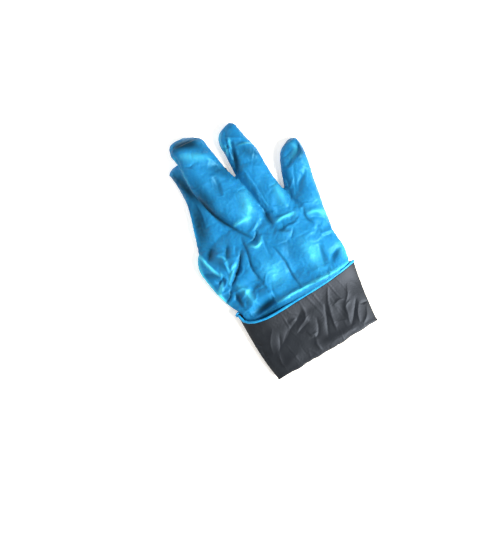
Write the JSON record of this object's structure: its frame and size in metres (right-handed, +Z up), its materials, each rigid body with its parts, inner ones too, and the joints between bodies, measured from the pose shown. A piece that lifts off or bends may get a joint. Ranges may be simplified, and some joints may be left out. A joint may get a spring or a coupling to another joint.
{
  "type": "nitrile exam glove",
  "caption": "Disposable exam glove lying flat, palm up, blue outside and black inside, its beaded cuff turned back over the wrist and its thumb folded under the palm",
  "frame": {"origin": "on the surface the glove lies on, under the middle of its outline", "axes": "+Y from the wrist to the fingertips, +X towards the little finger, +Z up from the surface"},
  "size_m": [0.1148, 0.2004, 0.0154],
  "materials": {
    "blue_nitrile": "satin dipped film, slightly grippy",
    "black_nitrile": "satin black inner coat",
    "blue_bead": "satin rolled edge"
  },
  "bodies": {
    "root": {"hand": "blue_nitrile", "turned_cuff": "black_nitrile", "rolled_bead": "blue_bead"}
  },
  "joints": []
}
